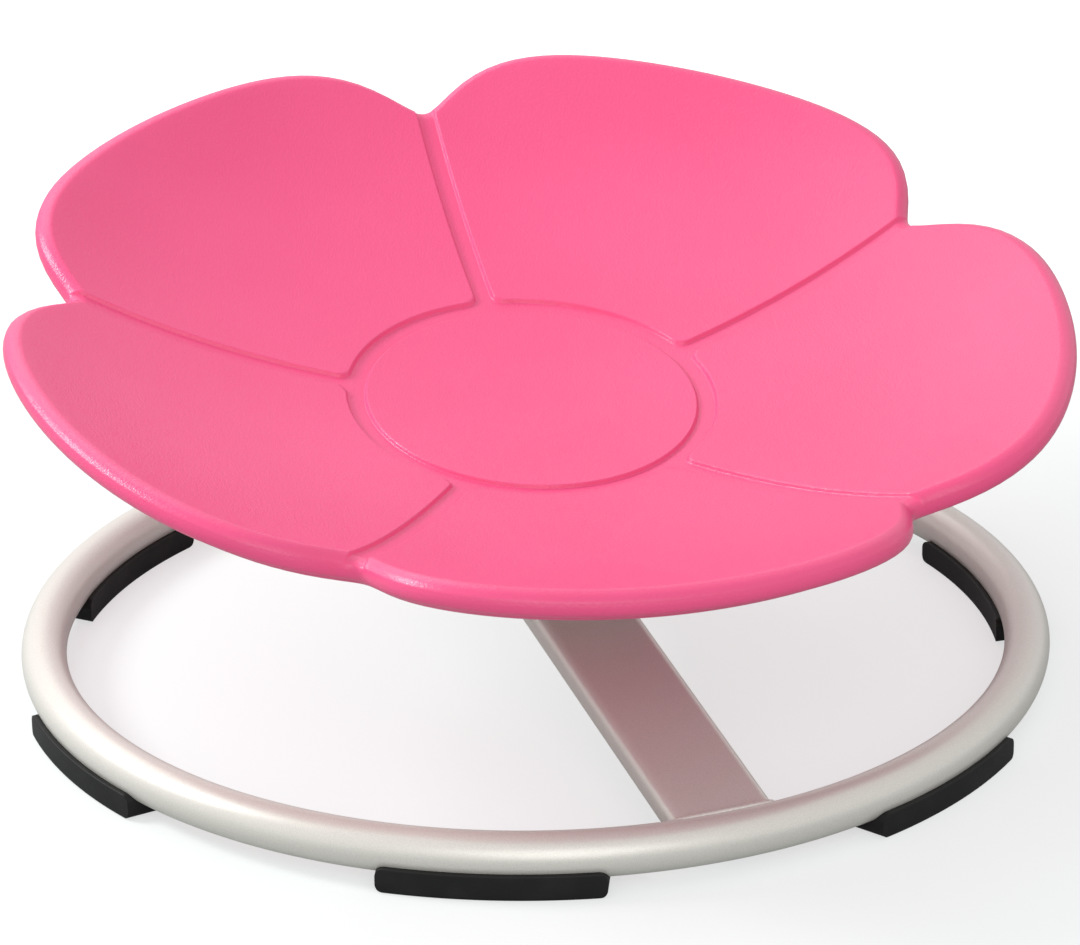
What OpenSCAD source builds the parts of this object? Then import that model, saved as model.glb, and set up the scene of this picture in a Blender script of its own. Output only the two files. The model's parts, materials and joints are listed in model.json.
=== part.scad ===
// Low spinning dish seat: a moulded flower seat that turns on a tilted ball-bearing hub over a tube ring.
// Millimetres, +Z up, front of the cross bar toward -Y, origin on the floor under the outline's middle.

/* [Ring] */
// Radius of the ring's centreline
ring_r = 240; // [180:1:300]
// Outside diameter of the ring's tube
tube_d = 22; // [16:0.5:32]
// Wall of the ring's tube
tube_wall = 1.5; // [1:0.1:3]
// How far the ring's centre sits behind the middle of the outline
outline_shift = 4.5; // [0:0.5:30]

/* [Cross bar] */
// Width of the bar's tube
bar_w = 50; // [25:1:60]
// Height of the bar's tube
bar_h = 15; // [12:0.5:30]
// Wall of the bar's tube
bar_wall = 2; // [1:0.1:3]
// Outside corner radius of the bar's tube
bar_corner = 6; // [3:0.5:7]
// Height of the bar's top face above the ring's plane, at the bar's middle
bar_top = 49.5; // [35:0.5:70]
// Distance from the bar's middle to its bend
corner_back = 56; // [50:1:90]
// How much higher the bar meets the ring at the back than at the front
rear_lift = 3.5; // [0:0.5:8]
// Radius of the bend along the bar's middle
bend_r = 40; // [25:1:80]
// Lean of the hub toward the front, in degrees
lean = 9.8; // [6:0.1:15]

/* [Hub] */
// Distance of the hub behind the bar's middle, along the bar
hub_back = 12.8; // [0:0.1:16]
// Diameter of the spindle in its bearings
spindle_d = 20; // [15:0.5:30]
// Diameter of the spindle's flange on the bar
flange_d = 38; // [30:1:60]
// Thickness of the spindle's flange
flange_t = 4; // [3:0.5:8]
// Height of the shoulder under the lower bearing
shoulder_t = 3; // [2:0.1:8]
// Diameter of the spindle's threaded end
thread_d = 16; // [12:1:24]
// Length of the spindle's threaded end past the upper bearing
thread_len = 16; // [12:0.5:24]
// Outside diameter of the bearings
bearing_d = 37; // [30:0.5:52]
// Width of each bearing
bearing_w = 9; // [7:0.5:15]
// Diameter of the bearing balls
ball_d = 5.5; // [4:0.1:9]
// Balls in each bearing
ball_count = 9; // [7:1:12]
// Height of the rib between the bearings
rib_t = 9; // [2:0.5:14]
// Outside diameter of the bearing housing
housing_d = 50; // [44:1:80]
// Gap between the housing and the spindle's flange
housing_gap = 2; // [1:0.1:3]
// Thickness of the spindle's washer
washer_t = 2; // [1:0.1:4]
// Outside diameter of the spindle's washer
washer_d = 28; // [22:0.5:40]
// Width of the spindle's nut across its flats
nut_flats = 24; // [18:0.5:36]
// Height of the spindle's nut
nut_t = 12; // [8:0.5:20]

/* [Seat plate] */
// Diameter of the plate that the seat is bolted to
plate_d = 150; // [120:1:200]
// Thickness of the plate
plate_t = 4; // [3:0.5:8]
// Bolts that hold the seat
bolt_count = 4; // [3:1:8]
// Diameter of the bolts
bolt_d = 8; // [5:0.5:12]
// Diameter of the circle that the bolts stand on
bolt_circle = 116; // [90:1:150]
// How far the bolts run into the seat
bolt_reach = 15; // [10:0.5:18]
// Diameter of the moulded-in inserts
insert_d = 14; // [10:0.5:20]
// Length of the moulded-in inserts
insert_len = 17; // [12:0.5:20]

/* [Seat] */
// Radius of the seat at the middle of a petal
petal_r = 257.5; // [200:0.5:320]
// Radius that the notches between the petals aim at
notch_r = 206.5; // [170:0.5:270]
// Petals round the seat
petal_count = 5; // [4:1:8]
// Turn of the seat at rest, in degrees
petal_turn = -6.5; // [-36:0.5:36]
// Thickness of the seat at its middle
seat_thick = 30; // [26:0.5:40]
// Height of the dish at its reference radius, from the even bow
dish_bow = 30.5; // [10:0.5:40]
// Height of the dish at its reference radius, from the flare
dish_flare = 5; // [0:0.5:20]
// Reference radius of the dish
dish_ref = 200; // [150:1:260]
// Radius of the rounded lip
lip_r = 6.5; // [4:0.5:10]
// Thickness of the seat under the petals
belly_t = 22; // [18:0.5:30]
// Radius of the raised disc in the middle
disc_r = 79; // [50:1:100]
// Width of the channels between the petals
channel_w = 7; // [4:0.5:14]
// Depth of the channels
channel_depth = 2; // [1:0.1:4]
// Wall of the seat round its inner space
seat_wall = 4; // [3:0.1:6]

/* [Foot pads] */
// Angle from each pad to the next, in degrees
pad_pitch = 55.5; // [45:0.5:60]
// Turn of the pads from the bar, in degrees
pad_turn = 1.5; // [-4:0.5:4]
// Angle that a pad covers at its outer side, in degrees
pad_span = 24; // [12:0.5:36]
// Width of a pad
pad_w = 25.5; // [24:0.5:40]
// Height of a pad
pad_h = 12.5; // [10:0.5:20]
// Rubber between the tube and the floor
pad_under = 6; // [4:0.5:10]
// Rounding of the corners at a pad's ends
pad_corner = 4.5; // [2:0.5:5]
// Diameter of the pads' screws
screw_d = 4; // [3:0.5:6]
// How far the screws run past the tube's lower side
screw_reach = 6; // [4:0.5:10]

/* [Fits] */
// Radial clearance of the bearings on their seats
seat_fit = 0.02; // [0.01:0.01:0.1]
// Radial clearance of bolts and screws in their holes
bolt_fit = 0.15; // [0.05:0.05:0.5]
// Gap between balls and races
ball_gap = 0.3; // [0.1:0.05:0.5]
// Gap between balls and cage
cage_gap = 0.1; // [0.05:0.05:0.3]
// Overrun of cuts
over = 1; // [0.5:0.5:3]

/* [Hidden] */
$fn = 96;
tube_r = tube_d / 2;
ring_z = tube_r + pad_under;
steel = [0.78, 0.75, 0.71];
bright = [0.72, 0.73, 0.75];
pink = [0.96, 0.33, 0.53];
black = [0.05, 0.05, 0.05];

// Cross bar geometry
corner_y = corner_back * cos(lean) + bar_h / 2 * sin(lean);
corner_z = bar_top + corner_back * sin(lean) - bar_h / 2 * cos(lean);
end_z = bar_top - bar_h / 2 / cos(lean) - ring_r * tan(lean);
bend = lean + atan((corner_z - end_z - rear_lift) / (ring_r - corner_y));
bend_back = corner_back - bend_r * tan(bend / 2);
leg_len = ring_r / cos(lean) + tube_d;
bar_end_share = 0.25;

// Heights along the hub's axis, from the bar's top face
lower_w = flange_t + shoulder_t;
upper_w = lower_w + bearing_w + rib_t;
plate_w = upper_w + bearing_w;
under_w = plate_w + plate_t;
top_w = under_w + seat_thick;

// Bearing section
spindle_r = spindle_d / 2;
bore_r = spindle_r + seat_fit;
race_r = bearing_d / 2;
pitch_r = (spindle_r + race_r) / 2;
race_share = 0.6;
inner_top = pitch_r - ball_d / 2 * race_share;
outer_in = pitch_r + ball_d / 2 * race_share;
cage_share = 0.3;
cage_w_share = 0.75;
groove_r = ball_d / 2 + ball_gap;
shoulder_r = (spindle_r + inner_top) / 2;

// Bolts and screws
bolt_r = bolt_d / 2;
head_share = 0.8125;
head_t_share = 0.66;
bolt_washer_share = 0.2;
bolt_washer_t = bolt_d * bolt_washer_share;
screw_r = screw_d / 2;
screw_head_r = screw_d;
screw_head_t = screw_d * head_t_share;
pad_count = 6;
pad_half = (ring_r + pad_w / 2) * sin(pad_span / 2);

// Seat section
pitch = 360 / petal_count;
half = pitch / 2;
notch_share = 0.074;
petal_power = 5.55;
step_w = channel_depth;
channel_half = channel_w / 2;
channel_in = disc_r + step_w;
channel_out = channel_in + channel_w;
petal_in = channel_out + step_w;
flat_share = 0.58;
belly_share = 0.88;
flat_r = plate_d * flat_share;
belly_r = notch_r * belly_share;
pocket_r = washer_d;
pocket_t = thread_len;
middle_cols = 18;
per = middle_cols + 4;
cols = per * petal_count;
way_shares = [0.12, 0.36, 0.62, 0.86];
lip_shares = [0, 0.14, 0.3, 0.46, 0.62, 0.8, 1];
lip_drop_shares = [1, 1, 0.8, 0.35, 0, 0, 0];
lip_end = -105;
shoulder_share = 0.8;
under_shares = [1, 0.75, 0.5, 0.25, 0];

// Height of the dish and its slope at a radius
function dish(r) = dish_bow * pow(r / dish_ref, 2) + dish_flare * pow(r / dish_ref, 4);
function rise(r) = 2 * dish_bow * r / pow(dish_ref, 2) + 4 * dish_flare * pow(r, 3) / pow(dish_ref, 4);
// Outline of the petals at an angle counted from a channel
function from_middle(a) = abs(((a % pitch) + pitch) % pitch - half);
function eased(a) = half - sqrt(pow(half - from_middle(a), 2) + pow(half * notch_share, 2));
function reach(a) = notch_r + (petal_r - notch_r) * (1 - pow(max(eased(a), 0) / half, petal_power));
// Where the lip starts on the dish, and the middle of its round
function lip_mid(a) = reach(a) - lip_r;
function lip_lean(a) = atan(rise(lip_mid(a)));
function lip_from(a) = lip_mid(a) - lip_r * sin(lip_lean(a));
function lip_z(a) = dish(lip_from(a)) - lip_r * cos(lip_lean(a));
function lip_angle(a, s) = (90 + lip_lean(a)) * (1 - s) + lip_end * s;
// Underside between the flat middle and the petals
function ease(t) = t * t * (3 - 2 * t);
belly_climb = dish(belly_r) - belly_t + seat_thick;
function belly(r) = belly_climb * ease((r - flat_r) / (belly_r - flat_r)) - seat_thick;
// Columns run along the channels and spread over the petals between them
function turn(d, r) = asin(d / max(r, channel_out));
function edge_turn(r) = turn(channel_half + step_w, r);
function col_local(k, r) =
    k == 0 ? 0
    : k == 1 ? turn(channel_half, r)
    : k == per - 1 ? pitch - turn(channel_half, r)
    : edge_turn(r) + (k - 2) / middle_cols * (pitch - 2 * edge_turn(r));
function col_angle(j, r) = floor(j / per) * pitch + col_local(j % per, r);
function in_channel(j) = j % per == 0 || j % per == 1 || j % per == per - 1;
function spot(a, r, z) = [r * cos(a), r * sin(a), z];
// Rows of the seat's skin, from the middle of the top out over the lip and back underneath
function disc_row(r, low) = [for (j = [0:cols - 1]) spot(col_angle(j, r), r, dish(r) - low)];
function drop(j) = in_channel(j) ? channel_depth : 0;
function petal_row(r) = [for (j = [0:cols - 1]) spot(col_angle(j, r), r, dish(r) - drop(j))];
function rim_angle(j) = col_angle(j, notch_r);
function way_r(j, s) = petal_in + (lip_from(rim_angle(j)) - petal_in) * s;
function way_point(j, r) = spot(col_angle(j, r), r, dish(r) - drop(j));
function way_row(s) = [for (j = [0:cols - 1]) way_point(j, way_r(j, s))];
function lip_point(a, s, d) =
    spot(a, lip_mid(a) + lip_r * cos(lip_angle(a, s)), lip_z(a) + lip_r * sin(lip_angle(a, s)) - d);
function lip_row(i) =
    [for (j = [0:cols - 1]) lip_point(rim_angle(j), lip_shares[i], drop(j) * lip_drop_shares[i])];
function shoulder_at(a) = lip_mid(a) - lip_r;
function shoulder_point(a) = spot(a, shoulder_at(a), dish(shoulder_at(a)) - belly_t * shoulder_share);
function under_r(s) = flat_r + (belly_r - flat_r) * s;
function flat_row(r, z) = [for (j = [0:cols - 1]) spot(rim_angle(j), r, z)];
skin_rows = concat(
    [disc_row(disc_r / 2, 0), disc_row(disc_r, 0), disc_row(channel_in, channel_depth)],
    [disc_row(channel_out, channel_depth), petal_row(petal_in)],
    [for (s = way_shares) way_row(s)],
    [for (i = [0:len(lip_shares) - 1]) lip_row(i)],
    [[for (j = [0:cols - 1]) shoulder_point(rim_angle(j))]],
    [for (s = under_shares) flat_row(under_r(s), belly(under_r(s)))],
    [flat_row(pocket_r, -seat_thick), flat_row(pocket_r, pocket_t - seat_thick)]
);
row_count = len(skin_rows);
skin_points = concat(
    [[0, 0, 0]],
    [for (row = skin_rows) each row],
    [[0, 0, pocket_t - seat_thick]]
);
function at(i, j) = 1 + i * cols + j % cols;
last_point = row_count * cols + 1;
skin_faces = concat(
    [for (j = [0:cols - 1]) [0, at(0, j + 1), at(0, j)]],
    [for (i = [0:row_count - 2]) for (j = [0:cols - 1]) [at(i, j), at(i, j + 1), at(i + 1, j + 1)]],
    [for (i = [0:row_count - 2]) for (j = [0:cols - 1]) [at(i, j), at(i + 1, j + 1), at(i + 1, j)]],
    [for (j = [0:cols - 1]) [last_point, at(row_count - 1, j), at(row_count - 1, j + 1)]]
);

// Places what follows on the bar's leaning top face
module on_slope() {
    translate([0, outline_shift, ring_z + bar_top]) rotate([lean, 0, 0]) children();
}

// Places what follows on the hub's axis, zero at the bar's top face
module on_axis() {
    on_slope() translate([0, hub_back, 0]) children();
}

// Places what follows on the ring's centre
module on_ring() {
    translate([0, outline_shift, ring_z]) children();
}

// Ring
module ring_solid(r) {
    rotate_extrude() translate([ring_r, 0]) circle(r);
}

function pad_at(i) = (i - (pad_count + 1) / 2) * pad_pitch + pad_turn - 90;

module at_pads() {
    for (i = [1:pad_count]) rotate(pad_at(i)) translate([ring_r, 0, 0]) children();
}

module base_ring() {
    color(steel) on_ring() difference() {
        ring_solid(tube_r);
        ring_solid(tube_r - tube_wall);
        at_pads() translate([0, 0, -tube_r - over])
            cylinder(h = tube_wall + 2 * over, r = screw_r + bolt_fit);
    }
}

// Cross bar: a rounded section carried along a straight front leg, the bend and a straight rear leg
bend_steps = 8;
corner_steps = 6;
function corner_spot(q, k, w, h, r) =
    [(q == 0 || q == 3 ? 1 : -1) * (w / 2 - r) + r * cos(q * 90 + k * 90 / corner_steps),
        (q < 2 ? 1 : -1) * (h / 2 - r) + r * sin(q * 90 + k * 90 / corner_steps)];
function bar_section(w, h, r) = [for (q = [0:3]) for (k = [0:corner_steps]) corner_spot(q, k, w, h, r)];
function bend_stop(a) = [bend_back + bend_r * sin(a), bend_r * cos(a) - bend_r - bar_h / 2, a];
bar_stops = concat(
    [[-leg_len, -bar_h / 2, 0]],
    [for (i = [0:bend_steps]) bend_stop(bend * i / bend_steps)],
    [[bend_stop(bend)[0] + leg_len * cos(bend), bend_stop(bend)[1] - leg_len * sin(bend), bend]]
);
function bar_spot(stop, p) = [p[0], stop[0] + p[1] * sin(stop[2]), stop[1] + p[1] * cos(stop[2])];
section_count = 4 * (corner_steps + 1);
function on_bar(i, k) = i * section_count + k % section_count;

module bar_run(inset) {
    section = bar_section(bar_w - 2 * inset, bar_h - 2 * inset, bar_corner - inset);
    last = section_count - 1;
    end = len(bar_stops) - 1;
    polyhedron(
        [for (stop = bar_stops) for (p = section) bar_spot(stop, p)],
        concat(
            [for (k = [1:last - 1]) [0, k + 1, k]],
            [for (i = [0:end - 1]) for (k = [0:last])
                [on_bar(i, k), on_bar(i, k + 1), on_bar(i + 1, k + 1)]],
            [for (i = [0:end - 1]) for (k = [0:last])
                [on_bar(i, k), on_bar(i + 1, k + 1), on_bar(i + 1, k)]],
            [for (k = [1:last - 1]) [on_bar(end, 0), on_bar(end, k), on_bar(end, k + 1)]]
        )
    );
}

module cross_bar() {
    color(steel) difference() {
        intersection() {
            on_slope() bar_run(0);
            on_ring() translate([0, 0, -ring_r])
                cylinder(h = 2 * ring_r, r = ring_r - tube_d * bar_end_share);
        }
        on_slope() bar_run(bar_wall);
        on_ring() ring_solid(tube_r);
        on_axis() translate([0, 0, -bar_h - over]) cylinder(h = bar_h + 2 * over, r = bore_r);
    }
}

// Hub
module spindle() {
    color(bright) on_axis() {
        translate([0, 0, -bar_h]) cylinder(h = plate_w + bar_h, d = spindle_d);
        cylinder(h = flange_t, d = flange_d);
        cylinder(h = lower_w, r = shoulder_r);
        translate([0, 0, plate_w]) cylinder(h = thread_len, d = thread_d);
    }
}

module inner_race(w) {
    color(bright) on_axis() translate([0, 0, w]) rotate_extrude() difference() {
        translate([bore_r, 0]) square([inner_top - bore_r, bearing_w]);
        translate([pitch_r, bearing_w / 2]) circle(groove_r);
    }
}

module outer_race(w) {
    color(bright) on_axis() translate([0, 0, w]) rotate_extrude() difference() {
        translate([outer_in, 0]) square([race_r - outer_in, bearing_w]);
        translate([pitch_r, bearing_w / 2]) circle(groove_r);
    }
}

module at_balls(w) {
    on_axis() for (i = [0:ball_count - 1]) rotate(i * 360 / ball_count)
        translate([pitch_r, 0, w + bearing_w / 2]) children();
}

module ball_set(w) {
    color(bright) at_balls(w) sphere(d = ball_d);
}

module cage(w) {
    color(black) difference() {
        on_axis() translate([0, 0, w + bearing_w * (1 - cage_w_share) / 2]) difference() {
            cylinder(h = bearing_w * cage_w_share, r = pitch_r + ball_d / 2 * cage_share);
            translate([0, 0, -over])
                cylinder(h = bearing_w + 2 * over, r = pitch_r - ball_d / 2 * cage_share);
        }
        at_balls(w) rotate([0, 90, 0]) cylinder(h = ball_d, d = ball_d + 2 * cage_gap, center = true);
    }
}

module lower_inner_race() { inner_race(lower_w); }
module upper_inner_race() { inner_race(upper_w); }
module lower_outer_race() { outer_race(lower_w); }
module upper_outer_race() { outer_race(upper_w); }
module lower_balls() { ball_set(lower_w); }
module upper_balls() { ball_set(upper_w); }
module lower_cage() { cage(lower_w); }
module upper_cage() { cage(upper_w); }

module race_spacer() {
    color(bright) on_axis() translate([0, 0, lower_w + bearing_w]) rotate_extrude()
        translate([bore_r, 0]) square([shoulder_r - bore_r, rib_t]);
}

module hub_washer() {
    color(bright) on_axis() translate([0, 0, plate_w]) difference() {
        cylinder(h = washer_t, d = washer_d);
        translate([0, 0, -over]) cylinder(h = washer_t + 2 * over, r = thread_d / 2 + bolt_fit);
    }
}

module hub_nut() {
    color(bright) on_axis() translate([0, 0, plate_w + washer_t]) difference() {
        cylinder(h = nut_t, r = nut_flats / 2 / cos(30), $fn = 6);
        translate([0, 0, -over]) cylinder(h = nut_t + 2 * over, r = thread_d / 2 + seat_fit);
    }
}

module hub_housing() {
    low = flange_t + housing_gap;
    color(steel) on_axis() difference() {
        translate([0, 0, low]) cylinder(h = plate_w - low, d = housing_d);
        translate([0, 0, low - over]) cylinder(h = plate_w - low + 2 * over, r = outer_in);
        translate([0, 0, low - over]) cylinder(h = lower_w + bearing_w - low + over, r = race_r + seat_fit);
        translate([0, 0, upper_w]) cylinder(h = bearing_w + over, r = race_r + seat_fit);
    }
}

// Seat plate and fasteners
module at_bolts() {
    on_axis() for (i = [0:bolt_count - 1]) rotate((i + 0.5) * 360 / bolt_count)
        translate([bolt_circle / 2, 0, 0]) children();
}

module seat_plate() {
    color(steel) difference() {
        on_axis() translate([0, 0, plate_w]) cylinder(h = plate_t, d = plate_d);
        on_axis() translate([0, 0, plate_w - over]) cylinder(h = plate_t + 2 * over, r = race_r + seat_fit);
        at_bolts() translate([0, 0, plate_w - over])
            cylinder(h = plate_t + 2 * over, r = bolt_r + bolt_fit);
    }
}

module seat_bolts() {
    head_w = plate_w - bolt_washer_t;
    color(bright) at_bolts() {
        translate([0, 0, head_w - bolt_d * head_t_share])
            cylinder(h = bolt_d * head_t_share, r = bolt_d * head_share / cos(30), $fn = 6);
        translate([0, 0, head_w]) cylinder(h = under_w + bolt_reach - head_w, r = bolt_r);
    }
}

module bolt_washers() {
    color(bright) at_bolts() translate([0, 0, plate_w - bolt_washer_t]) difference() {
        cylinder(h = bolt_washer_t, r = bolt_d);
        translate([0, 0, -over]) cylinder(h = bolt_washer_t + 2 * over, r = bolt_r + bolt_fit);
    }
}

module seat_inserts() {
    color([0.75, 0.6, 0.3]) at_bolts() translate([0, 0, under_w]) difference() {
        cylinder(h = insert_len, d = insert_d);
        translate([0, 0, -over]) cylinder(h = bolt_reach + 2 * over, r = bolt_r + bolt_fit);
    }
}

// Seat
hollow_last = len(under_shares) - 1;
function hollow_top(r) = [r, dish(r) - seat_wall - channel_depth];
function hollow_low(r) = [r, belly(r) + seat_wall];
module seat_hollow() {
    rotate_extrude() polygon(concat(
        [for (s = under_shares) hollow_top(under_r(s))],
        [for (i = [hollow_last:-1:0]) hollow_low(under_r(under_shares[i]))]
    ));
}

module seat_shell() {
    color(pink) difference() {
        on_axis() translate([0, 0, top_w]) rotate(petal_turn - 90 - half)
            polyhedron(skin_points, skin_faces);
        on_axis() translate([0, 0, top_w]) seat_hollow();
        at_bolts() translate([0, 0, under_w - over]) cylinder(h = insert_len + over, d = insert_d);
    }
}

// Foot pads
module pad_section() {
    translate([ring_r, 0]) difference() {
        translate([-pad_w / 2, -ring_z - over]) square([pad_w, pad_h + 2 * over]);
        circle(tube_r);
    }
}

// Face of a pad as seen from outside the ring, with its rounded corners
module pad_face() {
    side = pad_half - pad_corner;
    translate([-side, 0]) square([2 * side, pad_h]);
    translate([-pad_half, pad_corner]) square([2 * pad_half, pad_h - 2 * pad_corner]);
    for (x = [-side, side]) for (y = [pad_corner, pad_h - pad_corner]) translate([x, y]) circle(pad_corner);
}

module foot_pad(i) {
    head_top = pad_under - screw_head_t / 2;
    color(black) on_ring() rotate(pad_at(i)) difference() {
        intersection() {
            rotate(-pad_span) rotate_extrude(angle = 2 * pad_span) pad_section();
            translate([0, 0, -ring_z]) rotate([90, 0, 90]) linear_extrude(ring_r + pad_w) pad_face();
        }
        translate([ring_r, 0, -ring_z - over]) {
            cylinder(h = head_top + over, r = screw_head_r + bolt_fit);
            cylinder(h = pad_under + 2 * over, r = screw_r + bolt_fit);
        }
    }
}

module foot_pad_1() { foot_pad(1); }
module foot_pad_2() { foot_pad(2); }
module foot_pad_3() { foot_pad(3); }
module foot_pad_4() { foot_pad(4); }
module foot_pad_5() { foot_pad(5); }
module foot_pad_6() { foot_pad(6); }

module foot_screws() {
    head_top = pad_under - screw_head_t / 2;
    color(bright) on_ring() at_pads() translate([0, 0, -ring_z]) {
        translate([0, 0, head_top - screw_head_t]) cylinder(h = screw_head_t, r = screw_head_r);
        translate([0, 0, head_top]) cylinder(h = pad_under - head_top + screw_reach, r = screw_r);
    }
}

base_ring();
cross_bar();
spindle();
lower_inner_race();
race_spacer();
upper_inner_race();
hub_washer();
hub_nut();
lower_balls();
lower_cage();
upper_balls();
upper_cage();
lower_outer_race();
upper_outer_race();
hub_housing();
seat_plate();
seat_bolts();
bolt_washers();
seat_inserts();
seat_shell();
foot_pad_1();
foot_pad_2();
foot_pad_3();
foot_pad_4();
foot_pad_5();
foot_pad_6();
foot_screws();
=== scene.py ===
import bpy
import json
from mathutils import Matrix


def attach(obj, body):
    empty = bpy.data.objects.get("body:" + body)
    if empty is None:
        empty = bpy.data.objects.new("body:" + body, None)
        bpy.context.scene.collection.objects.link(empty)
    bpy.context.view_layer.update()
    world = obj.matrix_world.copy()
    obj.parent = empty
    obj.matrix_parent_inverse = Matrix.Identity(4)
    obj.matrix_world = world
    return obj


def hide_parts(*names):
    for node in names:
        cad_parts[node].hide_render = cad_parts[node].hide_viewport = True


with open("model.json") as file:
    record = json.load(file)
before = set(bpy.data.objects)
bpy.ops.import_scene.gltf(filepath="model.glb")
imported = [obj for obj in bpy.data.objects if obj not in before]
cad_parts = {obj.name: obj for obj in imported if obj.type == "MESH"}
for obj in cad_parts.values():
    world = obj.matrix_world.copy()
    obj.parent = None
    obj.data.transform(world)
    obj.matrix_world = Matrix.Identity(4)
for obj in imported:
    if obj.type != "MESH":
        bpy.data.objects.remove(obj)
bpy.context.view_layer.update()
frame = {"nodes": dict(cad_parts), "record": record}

import json
import math

import bpy
import numpy as np
from mathutils import Matrix

bl_info = {
    "name": "Spinning Flower Seat",
    "version": (1, 0, 0),
    "blender": (4, 5, 0),
    "location": "View3D > Sidebar > Seat",
    "description": "Dresses a spinning seat: moulded flower dish, painted tube base and rubber foot pads",
    "category": "Object",
}

TURN = 2.0 * math.pi
WHITE = (1.0, 1.0, 1.0, 1.0)

# Seat details
PETALS = 5
NOTCH_SHARE = 0.074      # rounding of a notch, as a share of half a petal's angle
PETAL_POWER = 5.55       # how late a petal's outline falls to its notch
EDGE_SOFT = 0.0014       # width of the rounded steps round the disc and the petals
# Distances of the close lines from a channel's middle
CHANNEL_LINES = np.array([0.0, 1.5, 2.8, 3.4, 3.8, 4.1, 4.35, 4.6, 4.85, 5.1, 5.4, 6.0, 7.2, 9.0]) * 1e-3
PETAL_LINES = 42         # lines over a petal, from channel to channel
COLUMN_START = 0.011     # distance outside the disc from which the lines keep beside the channels
DISC_ROWS = 14           # even rows over the disc, their start and their distance from its edge
DISC_START = 0.003
DISC_STOP = 0.006
# Distances of rows from the middle of a step, and of further rows from the petals' inner edges
STEP_ROWS = np.array([-3.6, -1.8, -1.0, -0.7, -0.45, -0.2, 0.0, 0.2, 0.45, 0.7, 1.0, 1.7]) * 1e-3
CORNER_ROWS = np.array([2.4, 3.2, 4.2, 5.4, 7.2, 9.5]) * 1e-3
PETAL_ROWS = 34
LIP_ROWS = 34
LIP_END = math.radians(-105.0)  # where the arc of the lip ends underneath
LIP_INSET = 0.0004       # keeps the lip inside the solid's outline
LIP_INSET_RATE = 6.0     # the inset is full after one over this rate of the way round the lip
CHANNEL_FADE_RATE = 2.2  # the channels have run out after one over this rate of that way
BEAD_H = 0.00022         # parting bead on the lip: height, place and spread
BEAD_AT = math.radians(38.0)
BEAD_SPREAD = math.radians(5.0)
FLAT_R = 0.087           # radius of the flat under the seat
BELLY_SHARE = 0.88       # where the belly starts, as a share of the notch radius
SHOULDER_SHARE = 0.8     # thickness just inside the lip, as a share of the belly's
UNDER_ROWS = (9, 19, 25)  # rows of the three runs from the lip in to the flat
SMOOTHINGS = 3
WAVES = 50               # moulded waves round the underside
WAVE_RISE = 0.02         # distance over which the waves rise, inward of the lip
WAVE_DELAY_SHARE = 0.7   # share of that distance that stays plain
WAVE_STOP_R = 0.12       # radius at which the waves have run out, and the width of their fading
WAVE_FADE = 0.05
FLAT_ROW_R = 0.06        # radius of a row on the flat, and of the last row in the pocket
POCKET_ROW_R = 0.01
POCKET_R = 0.028         # pocket for the hub's nut under the seat
POCKET_D = 0.016
POCKET_EDGE = 0.0005

# Base details
LEG_NEAR = 0.1           # stretch of a leg that is searched for the ring
LEG_FAR = 0.32
LEG_STEPS = 2201
LEG_SINK = 0.0004        # depth of a bar's end in the ring's tube
LEG_STOP_SHARE = 0.5     # how far inside the ring's line a line under the tube stops, in tube radii
BEND_ROWS = 14
LEG_ROWS = 12
WELD_STEPS = 260
WELD_SWELL_SHARE = 0.16  # height of a weld's ripples, as a share of its radius
WELD_RIPPLE = 0.0032     # length of a ripple

# Pad details
PADS = 6
PAD_TOP_EDGE = 0.0006    # rounding of the walls' tops
PAD_EDGE_LINES = 7
PAD_WALL_LINES = 8
PAD_FLAT_LINES = 5
PAD_END_ROWS = 16
PAD_GRIP = 0.0001        # clearance between a pad's hollow and the tube
RECESS_HALF = 0.006      # half of the finely divided stretch round a pad's screw recess
RECESS_LINES = 25
RECESS_SOFT = 0.0006     # width of the recess's rounded edge
PAD_FLAT_Z = 1e-6        # heights below this belong to the flat bottom

# Metal details
METAL_DARK_SHARE = 0.85
METAL_ROUGH_SPREAD = 0.06

# Stage details
FLOOR_HALF = 9.0
FLOOR_CLOUD_SHARE = 0.99
FLOOR_BOUNCE = 0.12      # strength of the floor's own light on the object
FLOOR_NEAR = 0.61        # strength that the camera sees near the middle and far from it
FLOOR_FAR = 1.0
FLOOR_NEAR_R = 0.4       # distances from the middle that these strengths hold at
FLOOR_FAR_R = 1.1
WORLD_SOFT = 0.66        # strength of the even light all round
LAMPS = (                # name, place, target, size and power
    ("key_lamp", (-1.25, 0.7, 1.08), (0.0, 0.0, 0.1), 0.5, 18.0),
    ("back_lamp", (-0.3, 1.3, 1.6), (0.0, 0.0, 0.1), 1.2, 8.6),
    ("front_lamp", (-0.5, -1.7, 0.9), (0.0, 0.0, 0.05), 1.2, 10.5),
)
CAMERA_REACH = 2.5497    # distance from the ring's middle, height angle and turn round it
CAMERA_LIFT = math.radians(24.9046)
CAMERA_TURN = math.radians(-21.25)
CAMERA_PAN = math.radians(0.0828)  # where it looks
CAMERA_PITCH = math.radians(23.1796)
CAMERA_ROLL = math.radians(-0.8233)
CAMERA_CLIP = 50.0
SENSOR_WIDTH = 36.0
FOCAL_PX = 5200.0        # focal length and width of the photograph, in its pixels
PHOTO_WIDTH_PX = 1080.0


# Sizes and colours

def length(name, description, default):
    """A length in metres."""
    return bpy.props.FloatProperty(
        name=name, description=description, default=default, unit="LENGTH", precision=5)


def angle(name, description, default):
    """An angle, given here in degrees and kept in radians."""
    return bpy.props.FloatProperty(
        name=name, description=description, default=math.radians(default), subtype="ANGLE")


def colour(name, description, default):
    """A colour as red, green and blue."""
    return bpy.props.FloatVectorProperty(
        name=name, description=description, default=default, size=3, min=0.0, max=1.0, subtype="COLOR")


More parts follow.
